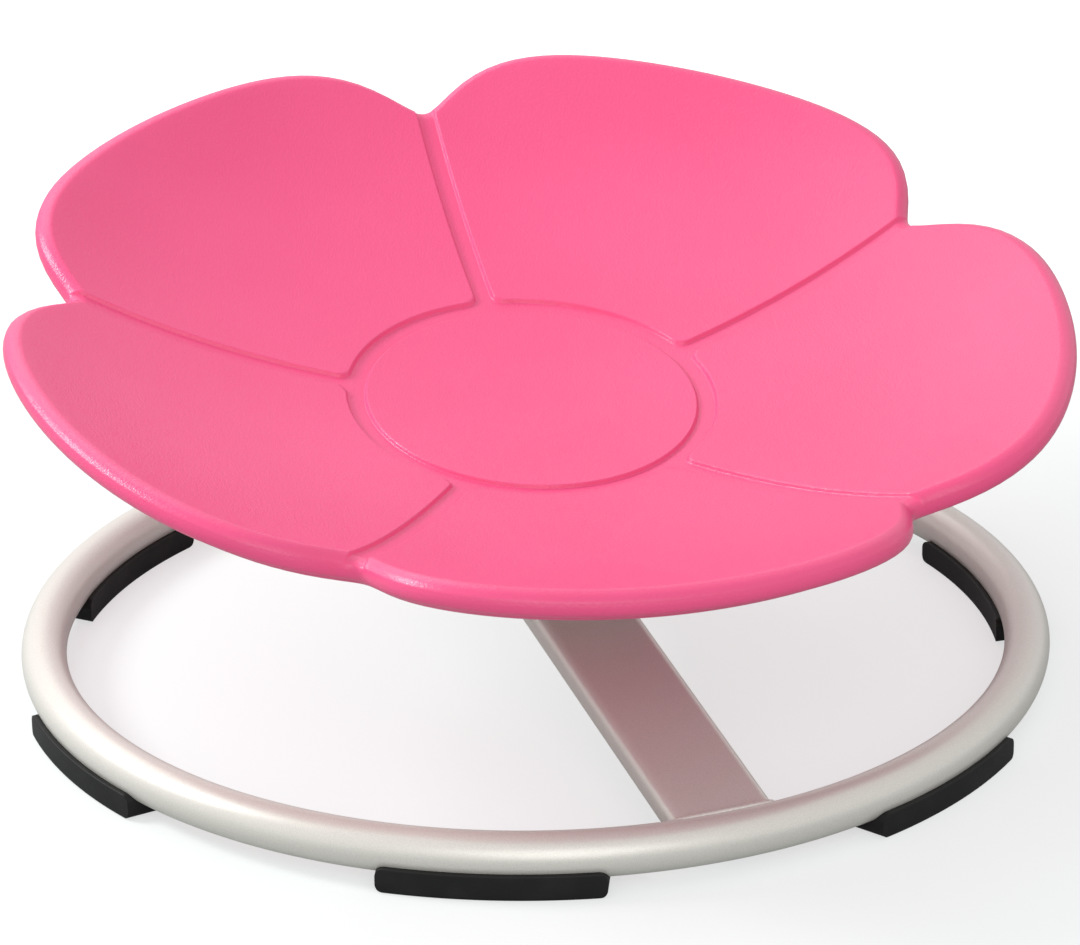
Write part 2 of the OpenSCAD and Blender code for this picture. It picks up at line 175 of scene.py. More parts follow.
class SeatSizes(bpy.types.PropertyGroup):
    """Sizes of the moulded seat"""
    petal_r: length("Petal radius", "Radius of the seat at the middle of a petal", 0.2575)
    notch_r: length("Notch radius", "Radius that the notches between the petals aim at", 0.2065)
    dish_bow: length("Dish bow", "Height of the even bow at the reference radius", 0.0305)
    dish_flare: length("Dish flare", "Height of the flare at the reference radius", 0.005)
    dish_ref: length("Dish reference", "Radius at which bow and flare are given", 0.2)
    lip_r: length("Lip radius", "Radius of the rounded lip", 0.0065)
    disc_r: length("Disc radius", "Radius of the raised disc in the middle", 0.079)
    channel_w: length("Channel width", "Width of the floor of the channels", 0.007)
    channel_depth: length("Channel depth", "Depth of the channels", 0.002)
    corner_r: length("Petal corner", "Rounding of the petals' inner corners", 0.005)
    thick: length("Thickness", "Thickness at the middle of the seat", 0.03)
    belly_t: length("Belly", "Thickness under the petals", 0.022)
    wave: length("Wave", "Height of the moulded waves underneath", 0.0018)
    petal_turn: angle("Petal turn", "Turn of the seat at rest", -6.5)


class BaseSizes(bpy.types.PropertyGroup):
    """Sizes of the ring, the bar and the hub's place"""
    ring_r: length("Ring radius", "Radius of the ring's centreline", 0.24)
    tube_r: length("Tube radius", "Outside radius of the ring's tube", 0.011)
    ring_z: length("Ring height", "Height of the ring's centreline over the floor", 0.017)
    shift: length("Ring shift", "How far the ring's centre sits behind the origin", 0.0045)
    bar_w: length("Bar width", "Width of the cross bar", 0.05)
    bar_h: length("Bar height", "Height of the cross bar", 0.015)
    bar_corner: length("Bar corner", "Corner radius of the cross bar", 0.006)
    bar_top: length("Bar top", "Height of the bar's top over the ring's plane at its middle", 0.0495)
    corner_back: length("Bend distance", "Distance from the bar's middle to its bend", 0.056)
    bend_r: length("Bend radius", "Radius of the bar's bend", 0.04)
    rear_lift: length("Rear lift", "How much higher the bar meets the ring at the back", 0.0035)
    seat_top: length("Seat top", "Distance from the bar's top to the seat's middle along the hub", 0.068)
    hub_back: length("Hub distance", "Distance of the hub behind the bar's middle, along the bar", 0.0128)
    lean: angle("Lean", "Lean of the hub toward the front", 9.8)
    weld_r: length("Weld radius", "Radius of the weld beads", 0.0016)


class PadSizes(bpy.types.PropertyGroup):
    """Sizes of the rubber foot pads"""
    width: length("Width", "Width of a pad", 0.0255)
    height: length("Height", "Height of a pad", 0.0125)
    edge: length("Edge", "Rounding of the lower edges", 0.0015)
    end_r: length("End rounding", "Rounding of the corners at a pad's ends", 0.0045)
    recess_r: length("Recess radius", "Radius of the screw recess", 0.0044)
    recess_d: length("Recess depth", "Depth of the screw recess", 0.0046)
    span: angle("Span", "Angle that a pad covers at its outer side", 24.0)
    pitch: angle("Pitch", "Angle from each pad to the next", 55.5)
    turn: angle("Turn", "Turn of the pads from the bar", 1.5)


class Finishes(bpy.types.PropertyGroup):
    """Colours of the finishes"""
    pink: colour("Seat plastic", "Moulded seat plastic", (0.85, 0.092, 0.247))
    pink_deep: colour("Seat plastic, deep", "Deeper patches of the seat plastic", (0.825, 0.083, 0.231))
    paint: colour("Frame paint", "Warm silver paint on the tubes", (0.72, 0.705, 0.655))
    paint_deep: colour("Frame paint, deep", "Darker flecks in the paint", (0.62, 0.605, 0.555))
    rubber: colour("Pad rubber", "Black rubber", (0.007, 0.007, 0.007))
    rubber_worn: colour("Pad rubber, dusty", "Dusty patches of the rubber", (0.013, 0.013, 0.0125))
    steel: colour("Bright steel", "Machined steel of the hub", (0.56, 0.57, 0.58))
    brass: colour("Brass", "Moulded-in inserts", (0.62, 0.45, 0.18))
    floor: colour("Floor", "Pale studio floor", (0.355, 0.385, 0.382))


# Surfaces

def put_mesh(name, verts, faces, sharp=None):
    """Makes a smooth-shaded mesh object at the origin from arrays of points and faces."""
    mesh = bpy.data.meshes.new(name)
    mesh.from_pydata(verts.reshape(-1, 3).tolist(), [], faces)
    mesh.polygons.foreach_set("use_smooth", np.ones(len(mesh.polygons), bool))
    if sharp is not None:
        mesh.set_sharp_from_angle(angle=sharp)
    mesh.update()
    piece = bpy.data.objects.new(name, mesh)
    bpy.context.scene.collection.objects.link(piece)
    return piece


def grid_faces(rows, cols, wrap_rows=False):
    """Quads over a grid numbered row by row, its columns closed to a loop. Each joins a row and a column to
    the next."""
    i = np.arange(rows if wrap_rows else rows - 1)[:, None]
    j = np.arange(cols)[None, :]
    i2, j2 = (i + 1) % rows, (j + 1) % cols
    quads = np.stack([i * cols + j, i2 * cols + j, i2 * cols + j2, i * cols + j2], -1)
    return quads.reshape(-1, 4).tolist()


def ease(t):
    """Smooth step: 3t squared minus 2t cubed between 0 and 1."""
    t = np.clip(t, 0.0, 1.0)
    return t * t * (3.0 - 2.0 * t)


def bar_frame(base):
    """Matrix from the bar's leaning axes, zero at its top face in its middle, to the object's frame."""
    place = Matrix.Translation((0.0, base.shift, base.ring_z + base.bar_top))
    return np.array(place @ Matrix.Rotation(base.lean, 4, "X"))


def moved(matrix, points):
    """Points carried through a 4 by 4 matrix."""
    return points @ matrix[:3, :3].T + matrix[:3, 3]


# The seat is a closed skin: rows run from the middle of the top out over the lip and back underneath.

def dish(seat, r):
    """Height of the dish: bow times the square of the share of the reference radius, plus flare times its
    fourth power."""
    t = r / seat.dish_ref
    return seat.dish_bow * t ** 2 + seat.dish_flare * t ** 4


def dish_rise(seat, r):
    """Slope of the dish, the derivative of its height."""
    bow = 2.0 * seat.dish_bow * r / seat.dish_ref ** 2
    return bow + 4.0 * seat.dish_flare * r ** 3 / seat.dish_ref ** 4


def petal_reach(seat, a):
    """Outline radius at an angle from a channel: full at the petal's middle, falling with a high power of
    the angle to a notch that a hyperbola rounds."""
    half = math.pi / PETALS
    m = np.abs(np.mod(a, 2.0 * half) - half)
    m = np.maximum(half - np.hypot(half - m, half * NOTCH_SHARE), 0.0)
    return seat.notch_r + (seat.petal_r - seat.notch_r) * (1.0 - (m / half) ** PETAL_POWER)


def petal_root(seat):
    """Radius of the petals' inner edges, half way up: the disc's radius, one and a half steps and the
    channel's width."""
    return seat.disc_r + seat.channel_depth * 1.5 + seat.channel_w


def seat_columns(seat, r):
    """Angles of the columns at each radius: close lines run along each channel, at the angle whose sine is
    their distance over the radius, and the rest spread evenly over the petals."""
    shares = np.linspace(0.0, 1.0, PETAL_LINES)[1:-1]
    r = np.maximum(np.asarray(r, float), seat.disc_r + COLUMN_START)[..., None]
    pitch = TURN / PETALS
    side = np.arcsin(CHANNEL_LINES / r)
    edge = side[..., -1:]
    middle = edge + shares * (pitch - 2.0 * edge)
    one = np.concatenate([side, middle, pitch - side[..., :0:-1]], -1)
    return np.concatenate([one + k * pitch for k in range(PETALS)], -1)


def raised_share(seat, r, a):
    """How far a spot stands up out of the channels, 0 to 1: an eased step across the edge of the disc, or
    across the edge of a petal, whose inner corners follow a circle."""
    step = seat.channel_depth
    pitch = TURN / PETALS
    off = np.abs(np.mod(a + pitch / 2.0, pitch) - pitch / 2.0)
    side = r * np.sin(np.minimum(off, math.pi / 2)) - (seat.channel_w + step) / 2.0
    inner = r - petal_root(seat)
    c = seat.corner_r
    both = (side < c) & (inner < c)
    petal = np.where(both, c - np.hypot(c - side, c - inner), np.minimum(side, inner))
    disc = seat.disc_r + step / 2.0 - r
    return np.maximum(ease(petal / EDGE_SOFT + 0.5), ease(disc / EDGE_SOFT + 0.5))


def belly(seat, r, belly_r):
    """Underside between the flat middle and the petals: an eased climb."""
    low = -seat.thick
    return low + (dish(seat, belly_r) - seat.belly_t - low) * ease((r - FLAT_R) / (belly_r - FLAT_R))


def underside(seat, stops_r, stops_z, belly_r):
    """Rows from the lip's end in to the flat middle: straight runs from stop to stop as far as the petals'
    root, an eased climb from there. Each row is then replaced, a few times over, by the mean of itself and
    its two neighbours."""
    first, second, third = (np.linspace(0.0, 1.0, rows)[:, None] for rows in UNDER_ROWS)
    runs = (first, second[1:], third[1:])
    r = np.concatenate([stops_r[k] + (stops_r[k + 1] - stops_r[k]) * t for k, t in enumerate(runs)])
    straight = [stops_z[k] + (stops_z[k + 1] - stops_z[k]) * t for k, t in enumerate(runs[:2])]
    z = np.concatenate(straight + [belly(seat, r[-len(runs[2]):], belly_r)])
    for _ in range(SMOOTHINGS):
        r[1:-1] = (r[:-2] + r[1:-1] + r[2:]) / 3.0
        z[1:-1] = (z[:-2] + z[1:-1] + z[2:]) / 3.0
    return r[1:], z[1:]


def seat_skin(seat):
    """Rows of points over the seat: the dish's height lowered in the channels, a lip whose section is an
    arc with a fine parting bead in the shape of a bell curve, and waves underneath whose height follows
    the cosine of a multiple of the angle."""
    rim = seat_columns(seat, seat.notch_r)
    reach = petal_reach(seat, rim)
    mid = reach - seat.lip_r
    lean = np.arctan(dish_rise(seat, mid))
    start = mid - seat.lip_r * np.sin(lean)
    rows_r, rows_a, rows_z = [], [], []

    def add(r, a, z):
        r, a, z = np.broadcast_arrays(np.asarray(r, float), a, z)
        rows_r.append(r)
        rows_a.append(a)
        rows_z.append(z)

    def add_top(r):
        a = np.diagonal(seat_columns(seat, r))
        up = raised_share(seat, r, a)
        add(r, a, dish(seat, r) - seat.channel_depth * (1.0 - up))

    disc_edge = seat.disc_r + seat.channel_depth / 2.0
    root = petal_root(seat)
    inner = np.concatenate([np.linspace(DISC_START, seat.disc_r - DISC_STOP, DISC_ROWS),
                            disc_edge + STEP_ROWS, root + STEP_ROWS, root + CORNER_ROWS])
    for r in inner:
        add_top(np.full(rim.shape, r))
    for s in np.linspace(0.0, 1.0, PETAL_ROWS)[1:-1]:
        add_top(inner[-1] + (start - inner[-1]) * s)
    drop = seat.channel_depth * (1.0 - raised_share(seat, start, rim))
    z_mid = dish(seat, start) - seat.lip_r * np.cos(lean)
    for s in np.linspace(0.0, 1.0, LIP_ROWS):
        t = (math.pi / 2.0 + lean) * (1.0 - s) + LIP_END * s
        bead = BEAD_H * np.exp(-((t - BEAD_AT) / BEAD_SPREAD) ** 2)
        lip = seat.lip_r - LIP_INSET * ease(s * LIP_INSET_RATE) + bead
        sink = drop * ease(1.0 - s * CHANNEL_FADE_RATE)
        add(mid + lip * np.cos(t), rim, z_mid + lip * np.sin(t) - sink)
    belly_r = seat.notch_r * BELLY_SHARE
    corner_at = mid - seat.lip_r
    stops_r = [rows_r[-1], corner_at, np.full(rim.shape, belly_r), np.full(rim.shape, FLAT_R)]
    stops_z = [rows_z[-1], dish(seat, corner_at) - seat.belly_t * SHOULDER_SHARE,
               belly(seat, stops_r[2], belly_r)]
    under_r, under_z = underside(seat, stops_r, stops_z, belly_r)
    inward = (rows_r[-1] - under_r) / WAVE_RISE
    grown = ease(inward - WAVE_DELAY_SHARE) * ease((under_r - WAVE_STOP_R) / WAVE_FADE)
    wave = seat.wave * np.cos(WAVES * rim) * grown
    for r, z in zip(under_r, under_z + wave):
        add(r, rim, z)
    pocket = (
        (FLAT_ROW_R, 0.0),
        (POCKET_R + POCKET_EDGE, 0.0),
        (POCKET_R, POCKET_EDGE),
        (POCKET_R, POCKET_D - POCKET_EDGE),
        (POCKET_R - POCKET_EDGE, POCKET_D),
        (POCKET_ROW_R, POCKET_D),
    )
    for r, depth in pocket:
        add(r, rim, depth - seat.thick)
    r, a, z = np.array(rows_r), np.array(rows_a), np.array(rows_z)
    return np.stack([r * np.cos(a), r * np.sin(a), z], -1)


def seat_points(seat, base):
    """The skin turned to its rest angle and carried to the hub, with a point closing the top and one the
    bottom."""
    skin = seat_skin(seat)
    rows, cols = skin.shape[:2]
    poles = np.array([[0.0, 0.0, 0.0], [0.0, 0.0, POCKET_D - seat.thick]])
    points = np.concatenate([skin.reshape(-1, 3), poles])
    turn = seat.petal_turn - math.pi / 2.0 - math.pi / PETALS
    hub = Matrix.Translation((0.0, base.hub_back, base.seat_top))
    local = np.array(hub @ Matrix.Rotation(turn, 4, "Z"))
    j = np.arange(cols)
    after = (j + 1) % cols
    last = (rows - 1) * cols
    top = np.stack([np.full(cols, rows * cols), j, after], -1)
    low = np.stack([np.full(cols, rows * cols + 1), last + after, last + j], -1)
    return moved(bar_frame(base) @ local, points), grid_faces(rows, cols) + top.tolist() + low.tolist()


# The base is a torus with a bent tube across it.

def ring_points(base, around=360, across=48):
    """Torus: a circle of the tube's radius carried round a circle of the ring's radius."""
    a = np.linspace(0.0, TURN, around, endpoint=False)[:, None]
    b = np.linspace(0.0, TURN, across, endpoint=False)[None, :]
    r = base.ring_r + base.tube_r * np.cos(b)
    z = np.broadcast_to(base.ring_z + base.tube_r * np.sin(b), (around, across))
    return np.stack([r * np.cos(a), r * np.sin(a) + base.shift, z], -1)


def bar_section(base, steps=8):
    """Rounded rectangle: four quarter circles, counter-clockwise, as offsets across and up."""
    q = np.repeat(np.arange(4), steps + 1)
    t = (q + np.tile(np.linspace(0.0, 1.0, steps + 1), 4)) * math.pi / 2.0
    c = base.bar_corner
    x = np.where((q == 0) | (q == 3), 1.0, -1.0) * (base.bar_w / 2.0 - c) + c * np.cos(t)
    y = np.where(q < 2, 1.0, -1.0) * (base.bar_h / 2.0 - c) + c * np.sin(t)
    return x, y


def bar_bend(base):
    """Angle of the bar's bend and the distance from the hub at which it starts."""
    t = base.lean
    corner_y = base.corner_back * math.cos(t) + base.bar_h / 2.0 * math.sin(t)
    corner_z = base.bar_top + base.corner_back * math.sin(t) - base.bar_h / 2.0 * math.cos(t)
    end_z = base.bar_top - base.bar_h / 2.0 / math.cos(t) - base.ring_r * math.tan(t)
    bend = t + math.atan((corner_z - end_z - base.rear_lift) / (base.ring_r - corner_y))
    return bend, base.corner_back - base.bend_r * math.tan(bend / 2.0)


def leg_end(base, origin, direction, x, y, up):
    """Where each line of the section, run along a leg, first enters the ring's tube, found by its distance
    from the tube's centreline in small steps, or where it stops short under the tube."""
    start = origin + np.stack([x, np.zeros_like(x), np.zeros_like(x)], -1) + y[:, None] * up
    t = np.linspace(LEG_NEAR, LEG_FAR, LEG_STEPS)[None, :, None]
    line = moved(bar_frame(base), start[:, None, :] + t * direction)
    r = np.hypot(line[..., 0], line[..., 1] - base.shift)
    inside = np.hypot(r - base.ring_r, line[..., 2] - base.ring_z) < base.tube_r - LEG_SINK
    inside |= r > base.ring_r - base.tube_r * LEG_STOP_SHARE
    return np.take_along_axis(line, inside.argmax(1)[:, None, None], 1)[:, 0]


def bar_points(base):
    """The section carried along the front leg, round the bend as an arc and down the rear leg, each end
    fitted to the ring."""
    x, y = bar_section(base)
    bend, back = bar_bend(base)
    half = base.bar_h / 2.0
    forward, upright = np.array([0.0, -1.0, 0.0]), np.array([0.0, 0.0, 1.0])
    front = leg_end(base, np.array([0.0, 0.0, -half]), forward, x, y, upright)
    a = np.linspace(0.0, bend, BEND_ROWS)[:, None]
    body = np.stack([np.broadcast_to(x, (BEND_ROWS, x.size)), back + (base.bend_r + y) * np.sin(a),
                     (base.bend_r + y) * np.cos(a) - base.bend_r - half], -1)
    last = np.array([0.0, back + base.bend_r * math.sin(bend),
                     base.bend_r * math.cos(bend) - base.bend_r - half])
    rear = leg_end(base, last, np.array([0.0, math.cos(bend), -math.sin(bend)]), x, y,
                   np.array([0.0, math.sin(bend), math.cos(bend)]))
    body = moved(bar_frame(base), body)
    shares = np.linspace(0.0, 1.0, LEG_ROWS)[:-1, None, None]
    return np.concatenate([front + (body[0] - front) * shares, body,
                           (body[-1] + (rear - body[-1]) * shares)[1:], rear[None]]), front, rear


def bead_points(base, path, around=10):
    """Weld bead: a circle carried round a closed path, its radius swelling with the size of a sine of the
    distance."""
    gap = np.linalg.norm(np.roll(path, -1, 0) - path, axis=1)
    far = np.concatenate([[0.0], np.cumsum(gap)])
    s = np.linspace(0.0, far[-1], WELD_STEPS, endpoint=False)
    closed = np.concatenate([path, path[:1]])
    line = np.stack([np.interp(s, far, closed[:, k]) for k in range(3)], -1)
    along = np.roll(line, -2, 0) - np.roll(line, 2, 0)
    along /= np.linalg.norm(along, axis=1, keepdims=True)
    out = line - line.mean(0)
    out -= (out * along).sum(1, keepdims=True) * along
    out /= np.linalg.norm(out, axis=1, keepdims=True)
    across = np.cross(along, out)
    b = np.linspace(0.0, TURN, around, endpoint=False)[None, :, None]
    swell = WELD_SWELL_SHARE * np.abs(np.sin(s * math.pi / WELD_RIPPLE))
    ripple = base.weld_r * (1.0 + swell)[:, None, None]
    return line[:, None] + ripple * (np.cos(b) * out[:, None] + np.sin(b) * across[:, None])


# A foot pad is a saddle: a section with a rounded bottom and a hollow for the tube, carried along an arc.

def pad_outline(pad):
    """Outside of the section from the inner wall's top, down, across the bottom and up, with quarter
    circles at its edges, as offsets from the tube's line."""
    w, e, h = pad.width / 2.0, pad.edge, pad.height
    top = PAD_TOP_EDGE
    q = np.linspace(0.0, math.pi / 2.0, PAD_EDGE_LINES)
    wall_top = np.stack([-w + top - top * np.sin(q), h - top + top * np.cos(q)], -1)
    heights = np.linspace(h - top, e, PAD_WALL_LINES)[1:-1]
    wall = np.stack([np.full_like(heights, -w), heights], -1)
    wall_low = np.stack([-w + e - e * np.cos(q), e - e * np.sin(q)], -1)
    flat = np.concatenate([np.linspace(-w + e, -RECESS_HALF, PAD_FLAT_LINES)[1:],
                           np.linspace(-RECESS_HALF, RECESS_HALF, RECESS_LINES)[1:],
                           np.linspace(RECESS_HALF, w - e, PAD_FLAT_LINES)[1:-1]])
    side = np.concatenate([wall_top, wall, wall_low])
    return np.concatenate([side, np.stack([flat, np.zeros_like(flat)], -1), side[::-1] * [-1.0, 1.0]])


def pad_points(base, pad, middle):
    """The section carried along the ring between two parallel ends: at an offset s to the side, a radius q
    lies the root of q squared less s squared from the middle. Toward the ends the heights are held inside
    the corners' circles, and a round recess is pressed up into the bottom for the screw."""
    outline = pad_outline(pad)
    n = len(outline)
    grip = base.tube_r + PAD_GRIP
    reach = math.acos((base.ring_z - pad.height) / grip)
    t = np.linspace(-reach, reach, n)
    half = (base.ring_r + pad.width / 2.0) * math.sin(pad.span / 2.0)
    end = pad.end_r * (1.0 - np.cos(np.linspace(0.0, math.pi / 2.0, PAD_END_ROWS)))
    left = np.concatenate([end, np.linspace(pad.end_r, half - RECESS_HALF, PAD_END_ROWS)[1:]])
    fine = np.linspace(-RECESS_HALF, RECESS_HALF, RECESS_LINES)[1:-1]
    run = np.concatenate([left - half, fine, half - left[::-1]])[:, None]
    near = half - np.abs(run)
    draw = pad.end_r - np.sqrt(np.maximum(pad.end_r ** 2 - np.maximum(pad.end_r - near, 0.0) ** 2, 0.0))
    x = np.broadcast_to(outline[:, 0], (run.size, n))
    z = np.clip(outline[:, 1], draw, pad.height - draw)
    press = pad.recess_d * ease((pad.recess_r - np.hypot(x, run)) / RECESS_SOFT + 0.5)
    z = np.where(outline[:, 1] < PAD_FLAT_Z, z + press, z)
    tube_x = np.broadcast_to(grip * np.sin(t), (run.size, n))
    tube_z = np.minimum(base.ring_z - grip * np.cos(t), pad.height - draw)
    radius = base.ring_r + np.concatenate([x, tube_x[:, ::-1]], 1)
    away = np.sqrt(radius ** 2 - run ** 2)
    c, d = math.cos(middle), math.sin(middle)
    points = np.stack([away * c - run * d, away * d + run * c + base.shift,
                       np.concatenate([z, tube_z[:, ::-1]], 1)], -1)
    rows, cols = points.shape[:2]
    k = np.arange(n - 1)
    cap = np.stack([k, k + 1, cols - 2 - k, cols - 1 - k], -1)
    faces = grid_faces(rows, cols)
    return points, [f[::-1] for f in faces] + cap[:, ::-1].tolist() + (cap + (rows - 1) * cols).tolist()


# Finishes

def new_material(name):
    """A material with a Principled shader; returns the material, its nodes, its links and the shader."""
    material = bpy.data.materials.new(f"{name}_finish")
    material.use_nodes = True
    nodes = material.node_tree.nodes
    return material, nodes, material.node_tree.links, nodes["Principled BSDF"]


def noise(nodes, links, scale, detail=2.0, roughness=0.5):
    """Noise on the object's own coordinates, in cells per metre."""
    place = nodes.new("ShaderNodeTexCoord")
    texture = nodes.new("ShaderNodeTexNoise")
    texture.inputs["Scale"].default_value = scale
    texture.inputs["Detail"].default_value = detail
    texture.inputs["Roughness"].default_value = roughness
    links.new(place.outputs["Object"], texture.inputs["Vector"])
    return texture


def ramp(nodes, links, source, low, high, low_at=0.35, high_at=0.65):
    """Two colours spread over a span of a factor."""
    node = nodes.new("ShaderNodeValToRGB")
    node.color_ramp.elements[0].position = low_at
    node.color_ramp.elements[1].position = high_at
    node.color_ramp.elements[0].color = (*low, 1.0)
    node.color_ramp.elements[1].color = (*high, 1.0)
    links.new(source, node.inputs["Fac"])
    return node


def spread(nodes, links, source, low, high):
    """A factor mapped to a range."""
    node = nodes.new("ShaderNodeMapRange")
    node.inputs["To Min"].default_value = low
    node.inputs["To Max"].default_value = high
    links.new(source, node.inputs["Value"])
    return node


def bump(nodes, links, shader, source, strength, distance):
    """Surface relief from a factor."""
    node = nodes.new("ShaderNodeBump")
    node.inputs["Strength"].default_value = strength
    node.inputs["Distance"].default_value = distance
    links.new(source, node.inputs["Height"])
    links.new(node.outputs["Normal"], shader.inputs["Normal"])


def seat_plastic(finishes):
    """Moulded plastic: even pink with faint cloudy patches, a fine sandblast grain and a satin sheen."""
    material, nodes, links, shader = new_material("seat_plastic")
    cloud = noise(nodes, links, scale=9.0, detail=3.0)
    tint = ramp(nodes, links, cloud.outputs["Fac"], finishes.pink_deep, finishes.pink)
    links.new(tint.outputs["Color"], shader.inputs["Base Color"])
    grain = noise(nodes, links, scale=900.0, roughness=0.6)
    gloss = spread(nodes, links, grain.outputs["Fac"], low=0.24, high=0.38)
    links.new(gloss.outputs["Result"], shader.inputs["Roughness"])
    bump(nodes, links, shader, grain.outputs["Fac"], strength=0.8, distance=0.0003)
    shader.inputs["IOR"].default_value = 1.45
    return material


def frame_paint(finishes):
    """Warm silver paint: metallic flecks, soft gloss and a faint orange peel."""
    material, nodes, links, shader = new_material("frame_paint")
    fleck = noise(nodes, links, scale=2600.0, detail=1.0)
    tint = ramp(nodes, links, fleck.outputs["Fac"], finishes.paint_deep, finishes.paint,
                low_at=0.3, high_at=0.6)
    links.new(tint.outputs["Color"], shader.inputs["Base Color"])
    peel = noise(nodes, links, scale=420.0)
    gloss = spread(nodes, links, peel.outputs["Fac"], low=0.3, high=0.42)
    links.new(gloss.outputs["Result"], shader.inputs["Roughness"])
    bump(nodes, links, shader, peel.outputs["Fac"], strength=0.12, distance=0.0002)
    shader.inputs["Metallic"].default_value = 0.25
    return material


def pad_rubber(finishes):
    """Black rubber: matt, lightly dusty, with a fine moulded grain."""
    material, nodes, links, shader = new_material("pad_rubber")
    dust = noise(nodes, links, scale=60.0, detail=4.0)
    tint = ramp(nodes, links, dust.outputs["Fac"], finishes.rubber, finishes.rubber_worn,
                low_at=0.45, high_at=0.8)
    links.new(tint.outputs["Color"], shader.inputs["Base Color"])
    grain = noise(nodes, links, scale=1500.0)
    gloss = spread(nodes, links, grain.outputs["Fac"], low=0.48, high=0.66)
    links.new(gloss.outputs["Result"], shader.inputs["Roughness"])
    bump(nodes, links, shader, grain.outputs["Fac"], strength=0.25, distance=0.0002)
    shader.inputs["Specular IOR Level"].default_value = 0.25
    return material


def plain_metal(name, tone, rough):
    """Machined metal with fine turning marks, which darken it a little and spread its roughness."""
    material, nodes, links, shader = new_material(name)
    marks = noise(nodes, links, scale=900.0, detail=3.0)
    darker = tuple(METAL_DARK_SHARE * c for c in tone)
    tint = ramp(nodes, links, marks.outputs["Fac"], darker, tone)
    links.new(tint.outputs["Color"], shader.inputs["Base Color"])
    gloss = spread(nodes, links, marks.outputs["Fac"],
                   low=rough - METAL_ROUGH_SPREAD, high=rough + METAL_ROUGH_SPREAD)
    links.new(gloss.outputs["Result"], shader.inputs["Roughness"])
    bump(nodes, links, shader, marks.outputs["Fac"], strength=0.08, distance=0.0001)
    shader.inputs["Metallic"].default_value = 1.0
    return material


def material_of(name, make):
    """The named finish, made once; the frame's own plain materials keep the slots' bare names."""
    return bpy.data.materials.get(f"{name}_finish") or make()


def dress(piece, material):
    """Gives a piece or a CAD node one material."""
    piece.data.materials.clear()
    piece.data.materials.append(material)


def settings(context):
    """The sizes of the seat, the base and the pads, and the finishes."""
    scene = context.scene
    return scene.seat_sizes, scene.base_sizes, scene.pad_sizes, scene.finishes


# Stage

def floor_paint(finishes):
    """Pale floor like a light table: a mid grey with a faint cloud, lifted to white where the camera looks
    at it, and more so with the distance from the middle, so that the far floor is plain white."""
    material, nodes, links, shader = new_material("studio_floor")
    cloud = noise(nodes, links, scale=2.0)
    cloudy = tuple(FLOOR_CLOUD_SHARE * c for c in finishes.floor)
    tint = ramp(nodes, links, cloud.outputs["Fac"], cloudy, finishes.floor)
    links.new(tint.outputs["Color"], shader.inputs["Base Color"])
    shader.inputs["Roughness"].default_value = 0.9
    shader.inputs["Specular IOR Level"].default_value = 0.0
    shader.inputs["Emission Color"].default_value = WHITE
    path = nodes.new("ShaderNodeLightPath")
    lift = spread(nodes, links, path.outputs["Is Camera Ray"], FLOOR_BOUNCE, FLOOR_NEAR)
    place = nodes.new("ShaderNodeTexCoord")
    away = nodes.new("ShaderNodeVectorMath")
    away.operation = "LENGTH"
    links.new(place.outputs["Object"], away.inputs[0])
    far = spread(nodes, links, away.outputs["Value"], FLOOR_NEAR, FLOOR_FAR)
    far.inputs["From Min"].default_value = FLOOR_NEAR_R
    far.inputs["From Max"].default_value = FLOOR_FAR_R
    links.new(far.outputs["Result"], lift.inputs["To Max"])
    links.new(lift.outputs["Result"], shader.inputs["Emission Strength"])
    return material


def studio_world(scene):
    """Soft even light all round; the camera, reflections and clear things see white."""
    world = bpy.data.worlds.new("studio")
    scene.world = world
    world.use_nodes = True
    nodes, links = world.node_tree.nodes, world.node_tree.links
    soft = nodes["Background"]
    soft.inputs["Color"].default_value = WHITE
    soft.inputs["Strength"].default_value = WORLD_SOFT
    white = nodes.new("ShaderNodeBackground")
    white.inputs["Strength"].default_value = 1.0
    white.inputs["Color"].default_value = WHITE
    path = nodes.new("ShaderNodeLightPath")
    seen = nodes.new("ShaderNodeMath")
    seen.operation = "MAXIMUM"
    any_seen = nodes.new("ShaderNodeMath")
    any_seen.operation = "MAXIMUM"
    links.new(path.outputs["Is Camera Ray"], seen.inputs[0])
    links.new(path.outputs["Is Glossy Ray"], seen.inputs[1])
    links.new(seen.outputs[0], any_seen.inputs[0])
    links.new(path.outputs["Is Transmission Ray"], any_seen.inputs[1])
    mix = nodes.new("ShaderNodeMixShader")
    links.new(any_seen.outputs[0], mix.inputs["Fac"])
    links.new(soft.outputs[0], mix.inputs[1])
    links.new(white.outputs[0], mix.inputs[2])
    links.new(mix.outputs[0], nodes["World Output"].inputs["Surface"])


def soft_light(name, place, target, size, power):
    """A square area lamp facing a spot."""
    lamp = bpy.data.lights.new(name, "AREA")
    lamp.size = size
    lamp.energy = power
    holder = bpy.data.objects.new(name, lamp)
    bpy.context.scene.collection.objects.link(holder)
    way = np.array(target) - np.array(place)
    back = -way / np.linalg.norm(way)
    side = np.cross([0.0, 1.0, 0.0], back)
    side /= np.linalg.norm(side)
    up = np.cross(back, side)
    matrix = np.eye(4)
    matrix[:3, :3] = np.stack([side, up, back], -1)
    matrix[:3, 3] = place
    holder.matrix_world = Matrix(matrix.tolist())


